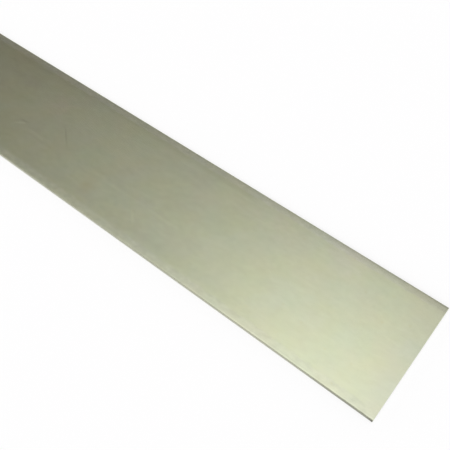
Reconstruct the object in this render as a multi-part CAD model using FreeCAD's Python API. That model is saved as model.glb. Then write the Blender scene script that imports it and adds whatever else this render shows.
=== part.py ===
"""A metal flat bar: one rolled strip of light metal, cut square at both ends.

X runs along the bar, Y across it and Z up. The origin lies on the resting face, at mid length and mid width.
All lengths are in millimetres.

The strip is flat over most of its width. Towards each long edge rolling has thinned it a little, so both faces
fall away in a shallow margin and end in a small rounded corner. The cut ends have their burr taken off.
"""

import FreeCAD
import Part

import math
import os

# Stock size: 36 inches of 2 inch by 1/16 inch bar.
bar_length = 914.4
bar_width = 50.8
bar_thickness = 1.5875

# The thinned margin along each long edge: how far in it starts, and how far each face has fallen at the edge.
margin_width = 3.4
edge_drop = 0.09

# The rounding between a face and a long edge, and the break on the rim of a cut end.
corner_radius = 0.35
end_break = 0.12

PARTS_FOLDER = "parts"


def point(y, z):
    """A point of the cross-section, which is drawn round the bar's axis in the plane of one end."""
    return FreeCAD.Vector(-bar_length / 2, y, z)


def arc(centre_y, centre_z, radius, start_angle, end_angle):
    """The arc of a circle in the cross-section, between two angles counted from +Y towards +Z, in radians."""
    middle_angle = (start_angle + end_angle) / 2
    start, middle, end = (
        point(centre_y + radius * math.cos(angle), centre_z + radius * math.sin(angle))
        for angle in (start_angle, middle_angle, end_angle)
    )
    return Part.Arc(start, middle, end).toShape()


def cross_section():
    """The face that the bar has all along its length: two flats, four margins, four corners and two sides."""
    half_width = bar_width / 2
    half_thickness = bar_thickness / 2
    flat_half_width = half_width - margin_width

    # The margin is an arc that leaves the flat without a kink and has fallen by edge_drop at the bar's side.
    margin_radius = (margin_width**2 + edge_drop**2) / (2 * edge_drop)
    margin_centre_z = half_thickness - margin_radius

    # The corner touches the margin arc from inside, and the side of the bar.
    corner_centre_y = half_width - corner_radius
    from_flat = corner_centre_y - flat_half_width
    corner_centre_z = margin_centre_z + math.sqrt((margin_radius - corner_radius) ** 2 - from_flat**2)
    meeting_angle = math.atan2(corner_centre_z - margin_centre_z, from_flat)

    corner = arc(corner_centre_y, corner_centre_z, corner_radius, 0, meeting_angle)
    margin = arc(flat_half_width, margin_centre_z, margin_radius, meeting_angle, math.pi / 2)
    edges = []
    for rounding in (corner, margin):
        mirrored = rounding.mirror(point(0, 0), FreeCAD.Vector(0, 1, 0))
        for edge in (rounding, mirrored):
            edges += [edge, edge.mirror(point(0, 0), FreeCAD.Vector(0, 0, 1))]
    for side in (-1, 1):
        flat_z = side * half_thickness
        edges.append(Part.makeLine(point(-flat_half_width, flat_z), point(flat_half_width, flat_z)))
        side_y = side * half_width
        edges.append(Part.makeLine(point(side_y, -corner_centre_z), point(side_y, corner_centre_z)))
    return Part.Face(Part.Wire(Part.__sortEdges__(edges)))


def flat_bar():
    """The bar: its cross-section drawn out to length, the rims of both cut ends broken, resting on Z = 0."""
    bar = cross_section().extrude(FreeCAD.Vector(bar_length, 0, 0))
    end_rims = []
    for end_x in (-bar_length / 2, bar_length / 2):
        end_face = min(bar.Faces, key=lambda face: abs(face.CenterOfMass.x - end_x))
        end_rims += end_face.Edges
    bar = bar.makeChamfer(end_break, end_rims)
    bar.translate(FreeCAD.Vector(0, 0, bar_thickness / 2))
    return bar


def main():
    os.makedirs(PARTS_FOLDER, exist_ok=True)
    flat_bar().exportStep(os.path.join(PARTS_FOLDER, "flat_bar.step"))


main()
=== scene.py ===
"""A metal flat bar in mill finish, lying on a pale studio floor.

The file is laid out as an add-on: two property groups hold the sizes and colours, one operator makes the
bar, one sets the stage, and a panel lists them. Lengths are in metres. X runs along the bar, Y across it
and Z up, and the origin lies on the resting face at mid length and mid width. The near end is the one at
+X, and the left edge is the one at +Y.
"""

import math
from typing import NamedTuple

import bpy
import numpy as np
from bpy.props import FloatProperty, FloatVectorProperty, IntProperty, PointerProperty
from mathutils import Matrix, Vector


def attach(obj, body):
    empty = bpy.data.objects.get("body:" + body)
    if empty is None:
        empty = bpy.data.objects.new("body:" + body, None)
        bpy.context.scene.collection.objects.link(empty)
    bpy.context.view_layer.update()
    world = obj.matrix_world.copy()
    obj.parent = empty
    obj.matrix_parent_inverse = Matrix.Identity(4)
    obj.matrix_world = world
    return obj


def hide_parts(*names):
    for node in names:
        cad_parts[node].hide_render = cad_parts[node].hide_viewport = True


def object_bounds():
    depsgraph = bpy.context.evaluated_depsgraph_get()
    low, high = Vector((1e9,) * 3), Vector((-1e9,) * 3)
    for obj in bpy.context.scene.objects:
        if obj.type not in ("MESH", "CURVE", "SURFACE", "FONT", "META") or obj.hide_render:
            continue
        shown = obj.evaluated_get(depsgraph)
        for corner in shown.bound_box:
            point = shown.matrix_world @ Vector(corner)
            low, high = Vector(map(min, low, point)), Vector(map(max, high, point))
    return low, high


bl_info = {
    "name": "Flat bar",
    "version": (1, 0, 0),
    "blender": (4, 5, 0),
    "location": "3D Viewport > Sidebar > Flat bar",
    "description": "Makes a mill finish metal flat bar and a studio to show it in",
    "category": "Mesh",
}

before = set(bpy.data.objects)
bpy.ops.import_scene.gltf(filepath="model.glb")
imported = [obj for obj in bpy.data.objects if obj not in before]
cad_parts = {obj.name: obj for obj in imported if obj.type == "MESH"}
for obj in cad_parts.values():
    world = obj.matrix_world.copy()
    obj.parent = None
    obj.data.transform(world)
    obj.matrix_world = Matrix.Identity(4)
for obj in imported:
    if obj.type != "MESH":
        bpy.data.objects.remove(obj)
cad_low, cad_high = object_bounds()

BAR_NODE = "flat_bar"

WHITE = (1.0, 1.0, 1.0, 1.0)

# A Mix node's sockets for colours share their names with others, so they are given by number.
MIX_FIRST, MIX_SECOND, MIX_RESULT = 6, 7, 2

# Points on one quarter of the bar's outline, and the angle from which an edge between faces looks sharp.
CORNER_POINTS = 13
MARGIN_POINTS = 25
FLAT_POINTS = 9
SHARP_ANGLE = math.radians(30.0)


class Noise(NamedTuple):
    """Smooth noise on the metal: the size of its cells in metres, and what it adds where it is 1."""

    cell: tuple
    detail: float = 2.0
    turn: float = 0.0
    light: float = 0.0
    roughness: float = 0.0
    height: float = 0.0


class Marks(NamedTuple):
    """Scattered marks, at most one in a cell of this size in metres, and what they add in their middle.

    They are as long and narrow as their cell. Their width is counted in cells, and share is the share of
    the cells that hold one.
    """

    cell: tuple
    width: float
    share: float
    turn: float = 0.0
    light: float = 0.0
    roughness: float = 0.0
    height: float = 0.0


class Rub(NamedTuple):
    """A lengthwise rub on the upper face: its place in metres, and how much lighter it makes the metal.

    A patchy rub comes and goes along its length.
    """

    across: float
    half_width: float
    start: float
    finish: float
    light: float
    patchy: bool = False


class Scratch(NamedTuple):
    """A scratch on the upper face, with the place of its middle and its size in metres.

    It is turned about Z by an angle in radians, and makes the metal this much lighter.
    """

    along: float
    across: float
    half_length: float
    half_width: float
    turn: float
    light: float


class Stain(NamedTuple):
    """A stain on the upper face: the place of its middle and its radius in metres, and its tint."""

    along: float
    across: float
    radius: float
    tint: tuple


# The faces' lines and grain are this high. The underside shows the same pattern, from this much further on.
RELIEF = 0.0000008
UNDERSIDE_SHIFT = 0.37

# The rolled faces are nowhere rougher than this.
DULLEST_FACE = 0.267

# What the rollers left on the faces: fine lines, grain, narrow and broad bands, and small and large clouds.
FACE_TEXTURE = (
    Noise((0.055, 0.00019, 1.0), detail=4.0, light=0.045, roughness=0.012, height=0.7),
    Noise((0.0007, 0.0004, 1.0), light=0.06, height=0.5),
    Noise((0.20, 0.0016, 1.0), light=0.020, roughness=0.012),
    Noise((0.60, 0.009, 1.0), light=0.04),
    Noise((0.0035, 0.0022, 1.0), detail=3.0, light=0.10, roughness=0.03),
    Noise((0.012, 0.008, 1.0), detail=3.0, light=0.08, roughness=0.02),
)

# Hair-fine scratches, some nearly lengthwise and some aslant.
FINE_SCRATCHES = (
    Marks((0.05, 0.0012, 1.0), width=0.05, share=0.25, turn=0.12, light=-0.03, roughness=0.04, height=-1.0),
    Marks((0.03, 0.0010, 1.0), width=0.05, share=0.12, turn=-0.9, light=-0.03, roughness=0.04, height=-1.0),
)

# A narrow pale rub in three lengths with a darker one beside it, and then the broader and fainter ones.
# They all wander by a share of their width, and fade out over RUB_FADE at their ends.
RUBS = (
    Rub(across=-0.0087, half_width=0.0015, start=0.275, finish=0.298, light=0.055, patchy=True),
    Rub(across=-0.0085, half_width=0.0015, start=0.312, finish=0.347, light=0.034, patchy=True),
    Rub(across=-0.0084, half_width=0.0013, start=0.346, finish=0.364, light=0.030),
    Rub(across=-0.0067, half_width=0.0014, start=0.310, finish=0.346, light=-0.010, patchy=True),
    Rub(across=0.0060, half_width=0.0140, start=0.200, finish=0.420, light=0.022),
    Rub(across=-0.0195, half_width=0.0040, start=0.260, finish=0.410, light=-0.030),
    Rub(across=0.0218, half_width=0.0030, start=0.240, finish=0.380, light=-0.055),
    Rub(across=0.0160, half_width=0.0075, start=0.355, finish=0.430, light=0.022),
    Rub(across=-0.0065, half_width=0.0080, start=0.342, finish=0.384, light=0.022),
    Rub(across=0.0010, half_width=0.0220, start=0.200, finish=0.282, light=0.018),
)
RUB_WANDER = Noise((0.03, 1.0, 1.0))
RUB_PATCHES = Noise((0.012, 0.003, 1.0), detail=3.0)
PATCH_RANGE = (-0.15, 0.15)
RUB_FADE = 0.006

# The scratches that stand out one by one.
SINGLE_SCRATCHES = (
    Scratch(along=0.2942, across=-0.0017, half_length=0.0080, half_width=0.0006, turn=-0.70, light=-0.10),
    Scratch(along=0.3450, across=-0.0150, half_length=0.0055, half_width=0.0006, turn=-0.80, light=0.06),
    Scratch(along=0.2737, across=-0.0065, half_length=0.0045, half_width=0.0008, turn=0.10, light=-0.10),
    Scratch(along=0.2728, across=-0.0085, half_length=0.0040, half_width=0.0008, turn=0.60, light=0.10),
)

# The faintest of films tint the metal from straw to blue and from rose to green, each in clouds of its own.
STRAW_CLOUDS = Noise((0.016, 0.012, 1.0), detail=3.0, turn=0.7)
ROSE_CLOUDS = Noise((0.014, 0.011, 1.0), detail=3.0, turn=-0.5)
FILM_RANGE = (-0.3, 0.3)
STRAW_TINT = (1.009, 1.000, 0.960, 1.0)
BLUE_TINT = (0.991, 1.000, 1.040, 1.0)
ROSE_TINT = (1.012, 0.990, 1.004, 1.0)
GREEN_TINT = (0.988, 1.010, 0.996, 1.0)

# Tarnish has stained the upper face brown in one spot and in specks, and tints other spots rosy, green or
# violet. A stain's reach and the wander of its outline are counted in its radius.
BROWN_TINT = (0.988, 0.964, 0.917, 1.0)
STAINS = (
    Stain(along=0.3205, across=-0.0150, radius=0.0036, tint=BROWN_TINT),
    Stain(along=0.2790, across=0.0112, radius=0.0060, tint=(1.035, 0.995, 1.035, 1.0)),
    Stain(along=0.3605, across=0.0087, radius=0.0050, tint=(1.018, 0.998, 1.018, 1.0)),
    Stain(along=0.3090, across=-0.0025, radius=0.0060, tint=(0.985, 1.005, 0.985, 1.0)),
    Stain(along=0.3450, across=-0.0120, radius=0.0100, tint=(1.000, 1.000, 1.030, 1.0)),
    Stain(along=0.3850, across=0.0215, radius=0.0100, tint=(1.020, 1.000, 1.040, 1.0)),
    Stain(along=0.4200, across=0.0215, radius=0.0100, tint=(1.020, 1.000, 1.040, 1.0)),
)
STAIN_RAGGEDNESS = Noise((0.004, 0.003, 1.0), detail=4.0)
STAIN_WANDER = 2.5
STAIN_REACH = 1.4
SPECKS = Marks((0.010, 0.008, 1.0), width=0.09, share=0.3)
SPECK_STRENGTH = 0.7

# The margins' duller, mottled finish fades out over these distances in from the long edges. Its bound is
# uneven by up to a quarter of MARGIN_WANDER. The right margin is less grey than the left one.
MARGIN_BOUND = (0.0027, 0.0038)
MARGIN_RAGGEDNESS = Noise((0.0030, 0.0024, 1.0), detail=4.0)
MARGIN_WANDER = 0.0022
MARGIN_MOTTLE = Noise((0.0030, 0.0020, 1.0), detail=3.0, light=0.25)
RIGHT_MARGIN_GREYNESS = 0.6

# The zones by the cut ends fade out in the same way. They are a little darker, rougher and greyer.
END_ZONE_BOUND = (0.001, 0.012)
END_ZONE_RAGGEDNESS = Noise((0.003, 0.006, 1.0), detail=3.0)
END_ZONE_WANDER = 0.004
END_ZONE_SHADE = 0.022
END_ZONE_ROUGHNESS = 0.02
END_ZONE_GREYNESS = 0.7

# Painted shade deepens towards the near end over this length. It darkens the rims by these shares, and
# fades out over these distances in from them. On the left rim it stands for the dim light that the falling
# rim mirrors, and on the right arris for the shade along the near side.
NEAR_PAINTED_LIGHT_LENGTH = 0.047
RIM_RAGGEDNESS = Noise((0.0020, 0.0009, 1.0), detail=4.0)
RIM_WANDER = 0.0014
RIM_LINE = (0.0004, 0.0011)
SIDE_LINE_SHADE = 0.08
NEAR_LINE_SHADE = 0.08
END_LINE_SHADE = 0.02
CORNER_REACH = (0.001, 0.005)
CORNER_SHADE = 0.06
BROAD_SHADE_REACH = (0.0004, 0.0055)
BROAD_SHADE = 0.07
ARRIS_WANDER = 0.0007
ARRIS_REACH = (0.0001, 0.0006)
ARRIS_SHADE = 0.3

# A fine bright line is painted just inside the right edge as the highlight of its rounding. It begins and
# finishes over these distances in from the edge, and by the near end it loses this share.
HIGHLIGHT_START = (0.0001, 0.0004)
HIGHLIGHT_FINISH = (0.0005, 0.0010)
HIGHLIGHT_LIGHT = 0.09
NEAR_HIGHLIGHT_LOSS = 0.4

# Over these distances in from the long edges and the cut ends, the dull sides and the sawn ends give way
# to the rolled faces.
SIDE_BOUND = (0.00005, 0.00010)
END_BOUND = (0.00002, 0.00010)

# The long sides are streaked along their length. Painted shade darkens them towards the near end, and over
# TIP_LENGTH by both ends. The saw has left marks up and down the ends.
SIDE_STREAKS = Noise((0.02, 1.0, 0.00012), detail=3.0, light=0.5, height=4.0)
SIDE_SHADES = (1.06, 0.70)
TIP_LENGTH = 0.0025
TIP_SHADE = 0.5
SAW_MARKS = Noise((1.0, 0.00022, 0.003), detail=3.0, light=0.4, height=6.0)

# The paper reaches far past the bar, and lies a hair below it so that the two don't share a plane.
FLOOR_HALF_SIZE = 40.0
FLOOR_LEVEL = -0.00002

# The dome's crown and window grow over these cosines of the angle from their middles, and neither comes to
# its full strength, which lies past 1. The white horizon fades out over these sines of the angle above it.
CROWN_EDGES = (0.231, 1.294)
WINDOW_EDGES = (0.930, 1.067)
HORIZON_EDGES = (0.226, 0.454)

# The angle that the lamp's light fills, and the camera's film width in millimetres and its nearest view.
LAMP_SPREAD = math.radians(60.0)
SENSOR_WIDTH = 36.0
NEAREST_SEEN = 0.01


class BarSettings(bpy.types.PropertyGroup):
    """Sizes of the bar's section and ends, and the colours and texture of its metal."""

    length: FloatProperty(
        name="Length", description="Along X", default=cad_high.x - cad_low.x, unit="LENGTH"
    )
    width: FloatProperty(
        name="Width", description="Across Y", default=cad_high.y - cad_low.y, unit="LENGTH"
    )
    thickness: FloatProperty(
        name="Thickness", description="Up Z", default=cad_high.z - cad_low.z, unit="LENGTH"
    )
    margin_width: FloatProperty(
        name="Margin width",
        description="How far in from each long edge the face starts to fall away",
        default=0.0034,
        unit="LENGTH",
    )
    edge_drop: FloatProperty(
        name="Edge drop",
        description="How far the face has fallen at the long edge",
        default=0.00009,
        unit="LENGTH",
    )
    corner_radius: FloatProperty(
        name="Corner radius",
        description="Rounding between a face and a long side",
        default=0.00035,
        unit="LENGTH",
    )
    end_break: FloatProperty(
        name="End break",
        description="Burr taken off the rim of a cut end",
        default=0.00012,
        unit="LENGTH",
    )
    stations: IntProperty(
        name="Stations", description="Cross-sections along the bar", default=121, min=2
    )
    face_colour: FloatVectorProperty(
        name="Face colour",
        description="Reflectance of the rolled faces",
        subtype="COLOR",
        default=(0.80, 0.84, 0.60),
        min=0.0,
        max=1.0,
    )
    margin_colour: FloatVectorProperty(
        name="Margin colour",
        description="Reflectance of the greyer margins along the long edges",
        subtype="COLOR",
        default=(0.81, 0.84, 0.65),
        min=0.0,
        max=1.0,
    )
    # The sides' colour is darker than the faces': partly their own duller metal, partly painted shade for
    # the dark line they show along the near edge.
    side_colour: FloatVectorProperty(
        name="Side colour",
        description="Reflectance of the dull long sides",
        subtype="COLOR",
        default=(0.47, 0.47, 0.38),
        min=0.0,
        max=1.0,
    )
    end_colour: FloatVectorProperty(
        name="End colour",
        description="Reflectance of the sawn ends",
        subtype="COLOR",
        default=(0.70, 0.71, 0.64),
        min=0.0,
        max=1.0,
    )
    roughness: FloatProperty(
        name="Roughness",
        description="Roughness of the rolled faces",
        subtype="FACTOR",
        default=0.20,
        min=0.0,
        max=1.0,
    )
    margin_roughness: FloatProperty(
        name="Margin roughness",
        description="Roughness of the margins",
        subtype="FACTOR",
        default=0.258,
        min=0.0,
        max=1.0,
    )
    cut_roughness: FloatProperty(
        name="Cut roughness",
        description="Roughness of the long sides and the sawn ends",
        subtype="FACTOR",
        default=0.38,
        min=0.0,
        max=1.0,
    )


class StudioSettings(bpy.types.PropertyGroup):
    """Floor, light and camera."""

    floor_colour: FloatVectorProperty(
        name="Floor colour", description="White paper", subtype="COLOR", default=(0.97, 0.97, 0.98)
    )
    floor_glow: FloatProperty(
        name="Floor glow",
        description="Share of plain white in the paper that the camera and shiny surfaces see",
        subtype="FACTOR",
        default=0.6,
        min=0.0,
        max=1.0,
    )
    low_light: FloatVectorProperty(
        name="Low light",
        description="Light of the dome away from its crown",
        subtype="COLOR",
        default=(0.103, 0.086, 0.078),
    )
    crown_light: FloatVectorProperty(
        name="Crown light",
        description="Light of the dome overhead",
        subtype="COLOR",
        default=(0.942, 0.942, 0.942),
    )
    crown_heading: FloatProperty(
        name="Crown heading",
        description="Direction of the dome's brightest part, counted from +X towards +Y",
        default=math.radians(-14.8),
        subtype="ANGLE",
    )
    crown_height: FloatProperty(
        name="Crown height",
        description="Angle above the horizon",
        default=math.radians(79.3),
        subtype="ANGLE",
    )
    window_light: FloatProperty(
        name="Window light",
        description="Light that the soft window adds to the dome",
        default=0.718,
        min=0.0,
    )
    window_heading: FloatProperty(
        name="Window heading",
        description="Direction of the soft window, counted from +X towards +Y",
        default=math.radians(110.2),
        subtype="ANGLE",
    )
    window_height: FloatProperty(
        name="Window height",
        description="Angle above the horizon",
        default=math.radians(71.9),
        subtype="ANGLE",
    )
    lamp_strength: FloatProperty(
        name="Lamp strength",
        description="With the dome, this lights a plain colour as it is written",
        default=1.9,
        min=0.0,
    )
    lamp_heading: FloatProperty(
        name="Lamp heading",
        description="Direction of the lamp, counted from +X towards +Y",
        default=math.radians(-70.0),
        subtype="ANGLE",
    )
    lamp_height: FloatProperty(
        name="Lamp height",
        description="Angle above the horizon",
        default=math.radians(50.0),
        subtype="ANGLE",
    )
    camera_place: FloatVectorProperty(
        name="Camera place",
        description="Just past the near end, over the floor beside the bar",
        subtype="TRANSLATION",
        default=(0.463742, -0.106719, 0.199254),
    )
    camera_azimuth: FloatProperty(
        name="Camera azimuth",
        description="How far the camera is turned from +Y towards -X",
        default=math.radians(38.745),
        subtype="ANGLE",
    )
    camera_tilt: FloatProperty(
        name="Camera tilt",
        description="How far the camera looks down from level",
        default=math.radians(54.244),
        subtype="ANGLE",
    )
    focal_length: FloatProperty(
        name="Focal length", description="Of the camera's lens", default=51.653, min=1.0, unit="CAMERA"
    )


class Shading:
    """The emptied node tree of a material or world. One method adds a node of any kind to it."""

    def __init__(self, owner):
        owner.use_nodes = True
        self.tree = owner.node_tree
        self.tree.nodes.clear()

    def node(self, kind, settings=None, values=None, output=0):
        """Adds a node: its settings first, then the value or link of each input, by its name or number."""
        node = self.tree.nodes.new(kind)
        for name, setting in (settings or {}).items():
            setattr(node, name, setting)
        for key, value in (values or {}).items():
            if isinstance(value, Term):
                self.tree.links.new(value.socket, node.inputs[key])
            else:
                node.inputs[key].default_value = value
        return Term(self, node.outputs[output]) if len(node.outputs) else None


class Term:
    """A node's output that Python's operators work on: an expression adds its Math nodes to the tree."""

    def __init__(self, shading, socket):
        self.shading = shading
        self.socket = socket

    def output(self, name):
        """Another output of the same node."""
        return Term(self.shading, self.socket.node.outputs[name])

    def math(self, operation, *values):
        return self.shading.node("ShaderNodeMath", {"operation": operation}, dict(enumerate(values)))

    def __add__(self, other):
        return self.math("ADD", self, other)

    def __radd__(self, other):
        return self.math("ADD", other, self)

    def __sub__(self, other):
        return self.math("SUBTRACT", self, other)

    def __rsub__(self, other):
        return self.math("SUBTRACT", other, self)

    def __mul__(self, other):
        return self.math("MULTIPLY", self, other)

    def __rmul__(self, other):
        return self.math("MULTIPLY", other, self)

    def __lt__(self, other):
        return self.math("LESS_THAN", self, other)

    def __gt__(self, other):
        return self.math("GREATER_THAN", self, other)

    def __abs__(self):
        return self.math("ABSOLUTE", self)

    def root(self):
        return self.math("SQRT", self)

    def larger(self, other):
        return self.math("MAXIMUM", self, other)

    def smaller(self, other):
        return self.math("MINIMUM", self, other)


def smooth_step(term, low, high, start=0.0, end=1.0):
    """A term that goes smoothly from start to end while the given one goes from low to high."""
    values = {"Value": term, "From Min": low, "From Max": high, "To Min": start, "To Max": end}
    return term.shading.node("ShaderNodeMapRange", {"interpolation_type": "SMOOTHSTEP"}, values)


def mix_colours(share, first, second, blend="MIX"):
    """The first colour where share is 0, and the second, or the two blended, where it is 1."""
    settings = {"data_type": "RGBA", "blend_type": blend}
    values = {"Factor": share, MIX_FIRST: first, MIX_SECOND: second}
    return share.shading.node("ShaderNodeMix", settings, values, MIX_RESULT)


def scaled(colour, factor):
    """A colour made lighter or darker by a factor."""
    return factor.shading.node("ShaderNodeVectorMath", {"operation": "SCALE"}, {0: colour, "Scale": factor})


def tinted(colour, tint):
    """A colour multiplied by a tint, channel by channel."""
    return colour.shading.node("ShaderNodeVectorMath", {"operation": "MULTIPLY"}, {0: colour, 1: tint})


def opaque(colour):
    return (*colour, 1.0)


def section_outline(bar, inset):
    """The closed outline of the bar's cross-section, drawn in by inset all round, as an array of Y and Z.

    It runs anticlockwise seen from +X. One quarter is worked out and mirrored: a corner arc that starts
    level with the side, a margin arc that the corner touches from inside, and half of the flat. The margin
    arc has fallen by edge_drop at the side, so its radius is the squares of margin_width and edge_drop
    added up and divided by twice edge_drop. An outline drawn in has the same centres, and its radii are
    smaller by inset.
    """
    half_width = bar.width / 2
    half_thickness = bar.thickness / 2
    flat_half_width = half_width - bar.margin_width
    margin_radius = (bar.margin_width**2 + bar.edge_drop**2) / (2 * bar.edge_drop)
    margin_z = half_thickness - margin_radius
    corner_y = half_width - bar.corner_radius
    from_flat = corner_y - flat_half_width
    corner_z = margin_z + math.sqrt((margin_radius - bar.corner_radius) ** 2 - from_flat**2)
    meeting = math.atan2(corner_z - margin_z, from_flat)

    corner_angle = np.linspace(0.0, meeting, CORNER_POINTS)
    margin_angle = np.linspace(meeting, math.pi / 2, MARGIN_POINTS)[1:]
    flat_y = np.linspace(flat_half_width, 0.0, FLAT_POINTS)[1:]
    quarter_y = np.concatenate(
        [
            corner_y + (bar.corner_radius - inset) * np.cos(corner_angle),
            flat_half_width + (margin_radius - inset) * np.cos(margin_angle),
            flat_y,
        ]
    )
    quarter_z = np.concatenate(
        [
            corner_z + (bar.corner_radius - inset) * np.sin(corner_angle),
            margin_z + (margin_radius - inset) * np.sin(margin_angle),
            np.full_like(flat_y, half_thickness - inset),
        ]
    )
    upper_y = np.concatenate([quarter_y, -quarter_y[-2::-1]])
    upper_z = np.concatenate([quarter_z, quarter_z[-2::-1]])
    outline_y = np.concatenate([upper_y, upper_y[::-1]])
    outline_z = np.concatenate([upper_z, -upper_z[::-1]])
    return np.stack([outline_y, outline_z + half_thickness], axis=-1)


def bar_mesh(bar):
    """The bar as one closed mesh: its outline carried along X, with the end rims broken.

    Two parameters give each point: its place on the outline and its station. Between the ends the outline
    keeps its shape. At each cut end it is drawn in by end_break over the last stretch, which is as long.
    The end face is a strip of quads that joins each upper point of the outline with the one beneath it.
    """
    outlines = np.stack([section_outline(bar, 0.0), section_outline(bar, bar.end_break)])
    count = outlines.shape[1]
    half_length = bar.length / 2
    inner = half_length - bar.end_break
    station_x = np.concatenate([[-half_length], np.linspace(-inner, inner, bar.stations), [half_length]])
    at_end = np.zeros(len(station_x), dtype=int)
    at_end[[0, -1]] = 1
    grid_x = np.repeat(station_x, count)[:, None]
    points = np.concatenate([grid_x, outlines[at_end].reshape(-1, 2)], axis=1)

    ring = np.arange(count)
    following = np.roll(ring, -1)
    start = np.arange(len(station_x) - 1)[:, None] * count
    walls = np.stack(
        [start + following, start + count + following, start + count + ring, start + ring], axis=-1
    ).reshape(-1, 4)

    upper = np.arange(count // 2)
    lower = count - 1 - upper
    far_cap = np.stack([upper[:-1], lower[:-1], lower[1:], upper[1:]], axis=-1)
    near_cap = far_cap[:, ::-1] + (len(station_x) - 1) * count

    mesh = bpy.data.meshes.new("rolled_flat_bar")
    mesh.from_pydata(points, [], np.concatenate([walls, far_cap, near_cap]).tolist())
    mesh.validate()
    mesh.shade_smooth()
    mesh.set_sharp_from_angle(angle=SHARP_ANGLE)
    return mesh


class Place:
    """Where on the bar a point lies, as terms, and the patterns that are laid out there.

    from_side and from_end say how far in the point is from the nearest long edge and cut end. The halves
    are 1 there and 0 elsewhere, and near_end grows to 1 over the stretch by the near end where the painted
    shade deepens and the painted highlight fades. Patterns follow on_face on the faces, and point on the
    sides and ends.
    """

    def __init__(self, shading, bar):
        self.shading = shading
        self.point = shading.node("ShaderNodeTexCoord", output="Object")
        self.along = shading.node("ShaderNodeSeparateXYZ", values={0: self.point}, output="X")
        self.across = self.along.output("Y")
        self.from_side = bar.width / 2 - abs(self.across)
        self.from_end = bar.length / 2 - abs(self.along)
        self.left_half = self.across > 0.0
        self.right_half = 1.0 - self.left_half
        self.near_end = smooth_step(self.along, bar.length / 2 - NEAR_PAINTED_LIGHT_LENGTH, bar.length / 2)
        self.lower_half = self.along.output("Z") < bar.thickness / 2
        self.upper_half = 1.0 - self.lower_half
        shifted = self.along + self.lower_half * UNDERSIDE_SHIFT
        self.on_face = shading.node("ShaderNodeCombineXYZ", values={"X": shifted, "Y": self.across})
        self.rub_wander = self.noise(RUB_WANDER)
        self.rub_patches = smooth_step(self.noise(RUB_PATCHES), *PATCH_RANGE)
        self.stain_raggedness = self.noise(STAIN_RAGGEDNESS)

    def cells(self, cell, turn, point=None):
        """Coordinates turned about Z and counted in cells, whose size along X, Y and Z is in metres."""
        values = {"Vector": point or self.on_face, "Rotation": (0.0, 0.0, turn), "Scale": cell}
        return self.shading.node("ShaderNodeMapping", {"vector_type": "TEXTURE"}, values)

    def noise(self, noise, point=None):
        """Smooth noise about 0, mostly between -0.25 and 0.25, with one swell to a cell."""
        cells = self.cells(noise.cell, noise.turn, point)
        values = {"Vector": cells, "Scale": 1.0, "Detail": noise.detail}
        return self.shading.node("ShaderNodeTexNoise", values=values) - 0.5

    def marks(self, marks):
        """1 in the middle of each mark, and 0 from its width out."""
        settings = {"voronoi_dimensions": "2D"}
        values = {"Vector": self.cells(marks.cell, marks.turn), "Scale": 1.0}
        distance = self.shading.node("ShaderNodeTexVoronoi", settings, values)
        chance = self.shading.node("ShaderNodeSeparateColor", values={"Color": distance.output("Color")})
        return smooth_step(distance, 0.0, marks.width, 1.0, 0.0) * (chance < marks.share)

    def rub(self, rub):
        """1 along the middle of a rub, fading out at its sides and ends and where a patchy one goes."""
        wander = self.rub_wander * rub.half_width
        line = smooth_step(abs(self.across - rub.across + wander), 0.0, rub.half_width, 1.0, 0.0)
        length = smooth_step(self.along, rub.start, rub.start + RUB_FADE)
        length = length * smooth_step(self.along, rub.finish - RUB_FADE, rub.finish, 1.0, 0.0)
        if rub.patchy:
            length = length * self.rub_patches
        return line * length * self.upper_half

    def scratch(self, scratch):
        """1 in the middle of a scratch, fading out towards its sides and ends."""
        far_x = self.along - scratch.along
        far_y = self.across - scratch.across
        cosine = math.cos(scratch.turn)
        sine = math.sin(scratch.turn)
        lengthwise = smooth_step(abs(far_x * cosine + far_y * sine), 0.0, scratch.half_length, 1.0, 0.0)
        sideways = smooth_step(abs(far_y * cosine - far_x * sine), 0.0, scratch.half_width, 1.0, 0.0)
        return lengthwise * sideways * self.upper_half

    def stain(self, stain):
        """1 in the middle of a stain, fading out towards its uneven outline."""
        far_x = self.along - stain.along
        far_y = self.across - stain.across
        distance = (far_x * far_x + far_y * far_y).root()
        distance = distance + self.stain_raggedness * stain.radius * STAIN_WANDER
        return smooth_step(distance, 0.0, stain.radius * STAIN_REACH, 1.0, 0.0) * self.upper_half


def margins(place):
    """1 on the margins along the long edges and 0 on the flat, with an uneven bound."""
    ragged = place.noise(MARGIN_RAGGEDNESS) * MARGIN_WANDER
    return smooth_step(place.from_side + ragged, *MARGIN_BOUND, 1.0, 0.0)


def end_zones(place):
    """1 along the cut ends and 0 further in, with an uneven bound."""
    ragged = place.noise(END_ZONE_RAGGEDNESS) * END_ZONE_WANDER
    return smooth_step(place.from_end + ragged, *END_ZONE_BOUND, 1.0, 0.0)


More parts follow.
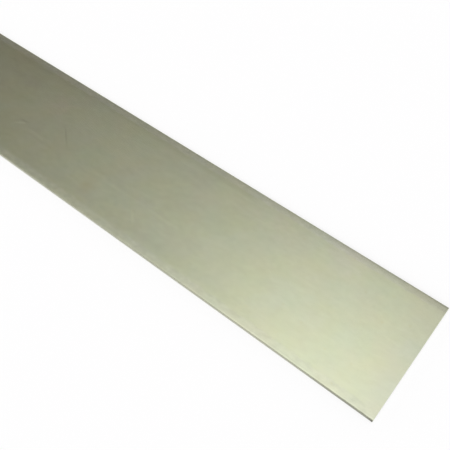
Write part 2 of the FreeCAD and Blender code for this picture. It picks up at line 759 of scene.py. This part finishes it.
def rim_painted_shade(place):
    """How much darker painted shade makes the rims of the faces.

    In the left half it lies in a fine line along the edge, fainter along the ends and stronger at their
    corners, and in a broader shade beside the edge towards the near end. The right edge only has it on its
    arris, by the near end.
    """
    raggedness = place.noise(RIM_RAGGEDNESS)
    by_side = smooth_step(place.from_side + raggedness * RIM_WANDER, *RIM_LINE, 1.0, 0.0)
    by_end = smooth_step(place.from_end + raggedness * RIM_WANDER, *RIM_LINE, 1.0, 0.0)
    corner = smooth_step(place.from_side.larger(place.from_end), *CORNER_REACH, 1.0, 0.0)
    line = by_side * (SIDE_LINE_SHADE + place.near_end * NEAR_LINE_SHADE)
    line = line.larger(by_end * END_LINE_SHADE) + by_side.larger(by_end) * corner * CORNER_SHADE
    broad_shade = smooth_step(place.from_side, *BROAD_SHADE_REACH, 1.0, 0.0) * place.near_end * BROAD_SHADE
    arris = smooth_step(place.from_side + raggedness * ARRIS_WANDER, *ARRIS_REACH, 1.0, 0.0)
    arris = arris * place.near_end * place.near_end * ARRIS_SHADE
    return (line + broad_shade) * place.left_half + arris * place.right_half


def rim_painted_highlight(place):
    """How much lighter the painted highlight makes a fine line just inside the right edge."""
    line = smooth_step(place.from_side, *HIGHLIGHT_START)
    line = line * smooth_step(place.from_side, *HIGHLIGHT_FINISH, 1.0, 0.0)
    return line * place.right_half * (1.0 - place.near_end * NEAR_HIGHLIGHT_LOSS) * HIGHLIGHT_LIGHT


def face_metal(place, bar):
    """Colour, roughness and height of the rolled faces, as terms.

    Lines, grain, bands, clouds and fine scratches each add their share to all three. Rubs and single
    scratches only change the colour. The margins are greyer and duller than the flat, and so is, a little,
    the stretch by each cut end.
    """
    margin = margins(place)
    end_zone = end_zones(place)
    light = 1.0
    roughness = bar.roughness
    height = 0.0
    layers = [(noise, place.noise(noise)) for noise in FACE_TEXTURE]
    layers += [(marks, place.marks(marks)) for marks in FINE_SCRATCHES]
    for layer, strength in layers:
        light = strength * layer.light + light
        roughness = strength * layer.roughness + roughness
        height = strength * layer.height + height
    for rub in RUBS:
        light = light + place.rub(rub) * rub.light
    for scratch in SINGLE_SCRATCHES:
        light = light + place.scratch(scratch) * scratch.light
    light = light + margin * place.noise(MARGIN_MOTTLE) * MARGIN_MOTTLE.light
    # The painted highlight lightens the right rim and painted shade darkens the rims; the end zones are a
    # little darker.
    light = light + rim_painted_highlight(place) - rim_painted_shade(place) - end_zone * END_ZONE_SHADE
    roughness = roughness + margin * (bar.margin_roughness - bar.roughness)
    roughness = roughness + end_zone * END_ZONE_ROUGHNESS

    greyness = margin * (RIGHT_MARGIN_GREYNESS + place.left_half * (1.0 - RIGHT_MARGIN_GREYNESS))
    greyness = greyness.larger(end_zone * END_ZONE_GREYNESS)
    colour = mix_colours(greyness, opaque(bar.face_colour), opaque(bar.margin_colour))
    straw = smooth_step(place.noise(STRAW_CLOUDS), *FILM_RANGE)
    colour = tinted(colour, mix_colours(straw, BLUE_TINT, STRAW_TINT))
    rose = smooth_step(place.noise(ROSE_CLOUDS), *FILM_RANGE)
    colour = tinted(colour, mix_colours(rose, GREEN_TINT, ROSE_TINT))
    for stain in STAINS:
        colour = tinted(colour, mix_colours(place.stain(stain), WHITE, stain.tint))
    colour = tinted(colour, mix_colours(place.marks(SPECKS) * SPECK_STRENGTH, WHITE, BROWN_TINT))
    return scaled(colour, light), roughness.smaller(DULLEST_FACE), height


def metal(bar):
    """Mill finish metal: satin rolled faces, dull long sides with lengthwise streaks, and sawn ends."""
    material = bpy.data.materials.new("rolled_mill_finish")
    shading = Shading(material)
    place = Place(shading, bar)
    colour, roughness, height = face_metal(place, bar)

    side = smooth_step(place.from_side, *SIDE_BOUND, 1.0, 0.0)
    end = smooth_step(place.from_end, *END_BOUND, 1.0, 0.0)
    cut = side.larger(end)
    streaks = place.noise(SIDE_STREAKS, place.point)
    saw_marks = place.noise(SAW_MARKS, place.point)
    # Painted shade: the sides darken towards the near end, and more over TIP_LENGTH by both ends.
    painted_side_shade = smooth_step(place.near_end, 0.0, 1.0, *SIDE_SHADES)
    painted_side_shade = painted_side_shade * smooth_step(place.from_end, 0.0, TIP_LENGTH, TIP_SHADE, 1.0)
    side_colour = scaled(bar.side_colour, (1.0 + streaks * SIDE_STREAKS.light) * painted_side_shade)
    end_colour = scaled(bar.end_colour, 1.0 + saw_marks * SAW_MARKS.light)
    colour = mix_colours(end, mix_colours(side, colour, side_colour), end_colour)
    roughness = roughness * (1.0 - cut) + cut * bar.cut_roughness
    height = height * (1.0 - cut) + side * streaks * SIDE_STREAKS.height
    height = height + end * saw_marks * SAW_MARKS.height
    bump = shading.node("ShaderNodeBump", values={"Height": height, "Strength": 1.0, "Distance": RELIEF})
    surface = {"Base Color": colour, "Metallic": 1.0, "Roughness": roughness, "Normal": bump}
    shader = shading.node("ShaderNodeBsdfPrincipled", values=surface)
    shading.node("ShaderNodeOutputMaterial", values={"Surface": shader})
    return material


class FLATBAR_OT_make_bar(bpy.types.Operator):
    """Make the rolled bar with its metal"""

    bl_idname = "flat_bar.make_bar"
    bl_label = "Make flat bar"

    def execute(self, context):
        bar = context.scene.flat_bar
        piece = bpy.data.objects.new("rolled_flat_bar", bar_mesh(bar))
        context.scene.collection.objects.link(piece)
        piece.data.materials.append(metal(bar))
        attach(piece, "root")
        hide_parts(BAR_NODE)
        return {"FINISHED"}


def direction(heading, height):
    """The unit vector at a heading, counted from +X towards +Y, and a height above the horizon."""
    level = math.cos(height)
    return Vector((level * math.cos(heading), level * math.sin(heading), math.sin(height)))


def studio_floor(studio):
    """White paper. What the camera and shiny surfaces see of it is part paper and part plain white."""
    half = FLOOR_HALF_SIZE
    corners = [(-half, -half), (half, -half), (half, half), (-half, half)]
    mesh = bpy.data.meshes.new("studio_floor")
    mesh.from_pydata([(x, y, FLOOR_LEVEL) for x, y in corners], [], [(0, 1, 2, 3)])
    material = bpy.data.materials.new("white_paper")
    shading = Shading(material)
    paper = shading.node("ShaderNodeBsdfDiffuse", values={"Color": opaque(studio.floor_colour)})
    glow = shading.node("ShaderNodeEmission", values={"Color": WHITE, "Strength": 1.0})
    ray = shading.node("ShaderNodeLightPath", output="Is Camera Ray")
    seen = ray.larger(ray.output("Is Glossy Ray")).larger(ray.output("Is Transmission Ray"))
    surface = shading.node("ShaderNodeMixShader", values={0: seen * studio.floor_glow, 1: paper, 2: glow})
    shading.node("ShaderNodeOutputMaterial", values={"Surface": surface})
    mesh.materials.append(material)
    floor = bpy.data.objects.new("studio_floor", mesh)
    bpy.context.scene.collection.objects.link(floor)


def studio_dome(studio):
    """The light all round: a dome that brightens to its crown, a soft window in it, and a white horizon."""
    world = bpy.data.worlds.new("studio_dome")
    shading = Shading(world)
    towards = shading.node("ShaderNodeTexCoord", output="Generated")

    def facing(heading, height):
        values = {0: towards, 1: direction(heading, height)}
        return shading.node("ShaderNodeVectorMath", {"operation": "DOT_PRODUCT"}, values, "Value")

    crown = smooth_step(facing(studio.crown_heading, studio.crown_height), *CROWN_EDGES)
    window = smooth_step(facing(studio.window_heading, studio.window_height), *WINDOW_EDGES)
    level = abs(shading.node("ShaderNodeSeparateXYZ", values={0: towards}, output="Z"))
    horizon = smooth_step(level, *HORIZON_EDGES, 1.0, 0.0)
    dome = mix_colours(crown, opaque(studio.low_light), opaque(studio.crown_light))
    lit = mix_colours(window * studio.window_light, dome, WHITE, blend="ADD")
    light = mix_colours(horizon, lit, WHITE)
    background = shading.node("ShaderNodeBackground", values={"Color": light, "Strength": 1.0})
    shading.node("ShaderNodeOutputWorld", values={"Surface": background})
    bpy.context.scene.world = world


def key_lamp(studio):
    """A broad lamp on the camera's side. With the dome it lights a plain colour as it is written.

    Shiny surfaces mirror only the dome and the floor, and not this lamp.
    """
    data = bpy.data.lights.new("key_lamp", "SUN")
    data.energy = studio.lamp_strength
    data.angle = LAMP_SPREAD
    lamp = bpy.data.objects.new("key_lamp", data)
    from_lamp = -direction(studio.lamp_heading, studio.lamp_height)
    lamp.rotation_euler = from_lamp.to_track_quat("-Z", "Y").to_euler()
    lamp.visible_glossy = False
    bpy.context.scene.collection.objects.link(lamp)


def camera(studio):
    """The camera stands just past the near end, looks down on the bar and slants across it."""
    data = bpy.data.cameras.new("camera")
    data.sensor_width = SENSOR_WIDTH
    data.lens = studio.focal_length
    data.clip_start = NEAREST_SEEN
    viewer = bpy.data.objects.new("camera", data)
    viewer.location = studio.camera_place
    viewer.rotation_euler = (math.pi / 2 - studio.camera_tilt, 0.0, studio.camera_azimuth)
    bpy.context.scene.collection.objects.link(viewer)
    bpy.context.scene.camera = viewer


class FLATBAR_OT_set_stage(bpy.types.Operator):
    """Set the floor, the light and the camera"""

    bl_idname = "flat_bar.set_stage"
    bl_label = "Set stage"

    def execute(self, context):
        studio = context.scene.flat_bar_studio
        studio_floor(studio)
        studio_dome(studio)
        key_lamp(studio)
        camera(studio)
        context.scene.view_settings.view_transform = "Standard"
        return {"FINISHED"}


class FLATBAR_PT_panel(bpy.types.Panel):
    """The operators and their settings"""

    bl_label = "Flat bar"
    bl_idname = "FLATBAR_PT_panel"
    bl_space_type = "VIEW_3D"
    bl_region_type = "UI"
    bl_category = "Flat bar"

    def draw(self, context):
        layout = self.layout
        for operator in OPERATORS:
            layout.operator(operator.bl_idname)
        for settings in (context.scene.flat_bar, context.scene.flat_bar_studio):
            for name in settings.__annotations__:
                layout.prop(settings, name)


OPERATORS = (FLATBAR_OT_make_bar, FLATBAR_OT_set_stage)
CLASSES = (BarSettings, StudioSettings, *OPERATORS, FLATBAR_PT_panel)


def register():
    for cls in CLASSES:
        bpy.utils.register_class(cls)
    bpy.types.Scene.flat_bar = PointerProperty(type=BarSettings)
    bpy.types.Scene.flat_bar_studio = PointerProperty(type=StudioSettings)


def unregister():
    del bpy.types.Scene.flat_bar_studio
    del bpy.types.Scene.flat_bar
    for cls in reversed(CLASSES):
        bpy.utils.unregister_class(cls)


def main():
    register()
    bpy.ops.flat_bar.make_bar()
    bpy.ops.flat_bar.set_stage()


if __name__ == "__main__":
    main()
